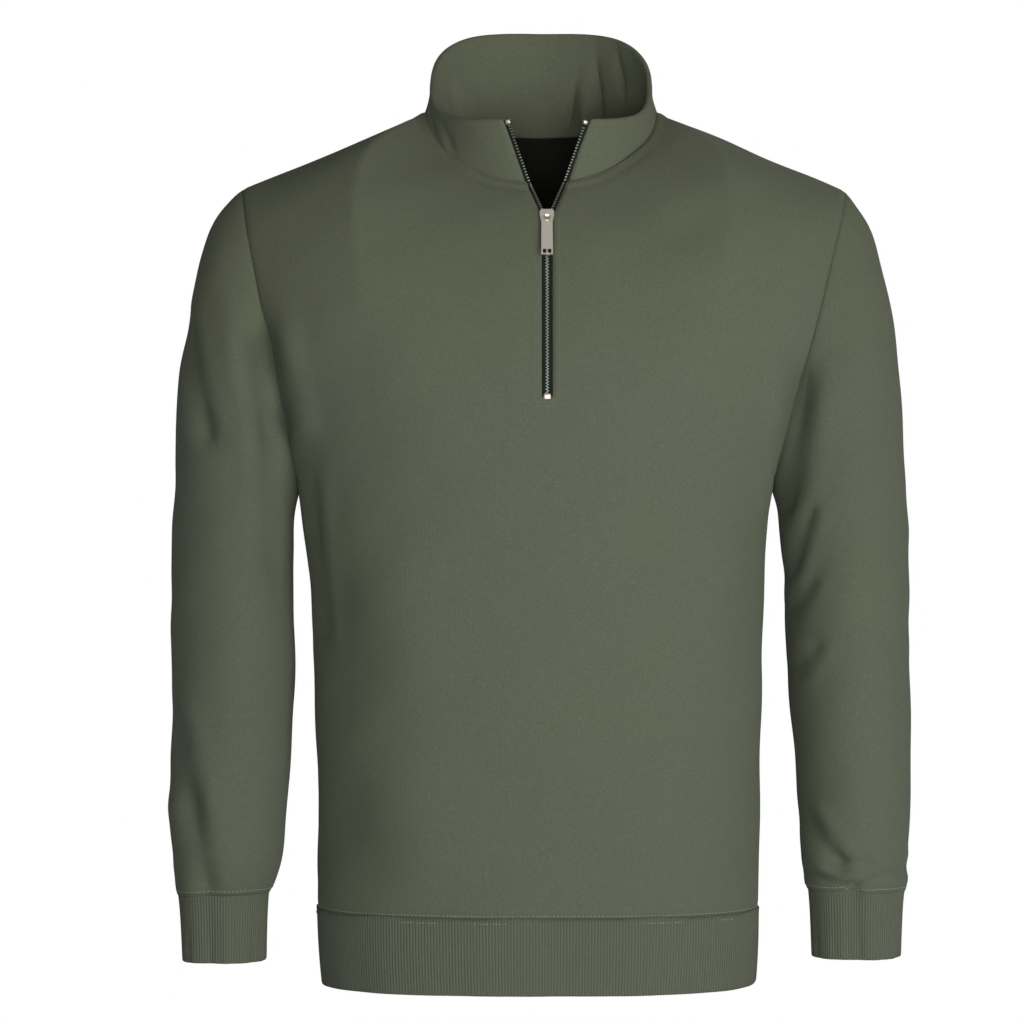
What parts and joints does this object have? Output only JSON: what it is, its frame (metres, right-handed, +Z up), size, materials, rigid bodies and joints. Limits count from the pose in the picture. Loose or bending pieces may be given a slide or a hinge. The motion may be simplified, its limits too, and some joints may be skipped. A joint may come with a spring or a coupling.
{
  "type": "quarter zip sweater",
  "caption": "Long-sleeved sweater with a stand collar, a short front zip, ribbed cuffs and a ribbed hem, filled out as worn",
  "frame": {"origin": "where the wearer's neck and shoulders carry it: on the centre line, level with the high shoulder points, mid way between front and back", "axes": "+Z up, -Y is the garment's front, +X is the wearer's left"},
  "size_m": [0.589, 0.245, 0.767],
  "materials": {
    "jersey": "brushed olive green jersey",
    "rib": "olive green rib knit",
    "tape": "woven zip tape, dark green",
    "nickel": "satin nickel"
  },
  "bodies": {
    "garment": {"front_panel": "jersey", "back_panel": "jersey", "collar": "jersey", "sleeve_left": "jersey", "sleeve_right": "jersey", "cuff_left": "rib", "cuff_right": "rib", "hem_band": "rib", "zip_tape_left": "tape", "zip_tape_right": "tape", "zip_chain_left": "nickel", "zip_chain_right": "nickel", "zip_chain_closed": "nickel", "top_stop_left": "nickel", "top_stop_right": "nickel", "bottom_stop": "nickel", "slider": "nickel"},
    "pull": {"pull_tab": "nickel"}
  },
  "joints": [
    {"name": "pull_swing", "type": "hinge", "parent": "garment", "child": "pull", "pos_m": [0.004, -0.095, -0.08841], "axis": [-1, 0, 0], "range_deg": [0, 150]}
  ]
}
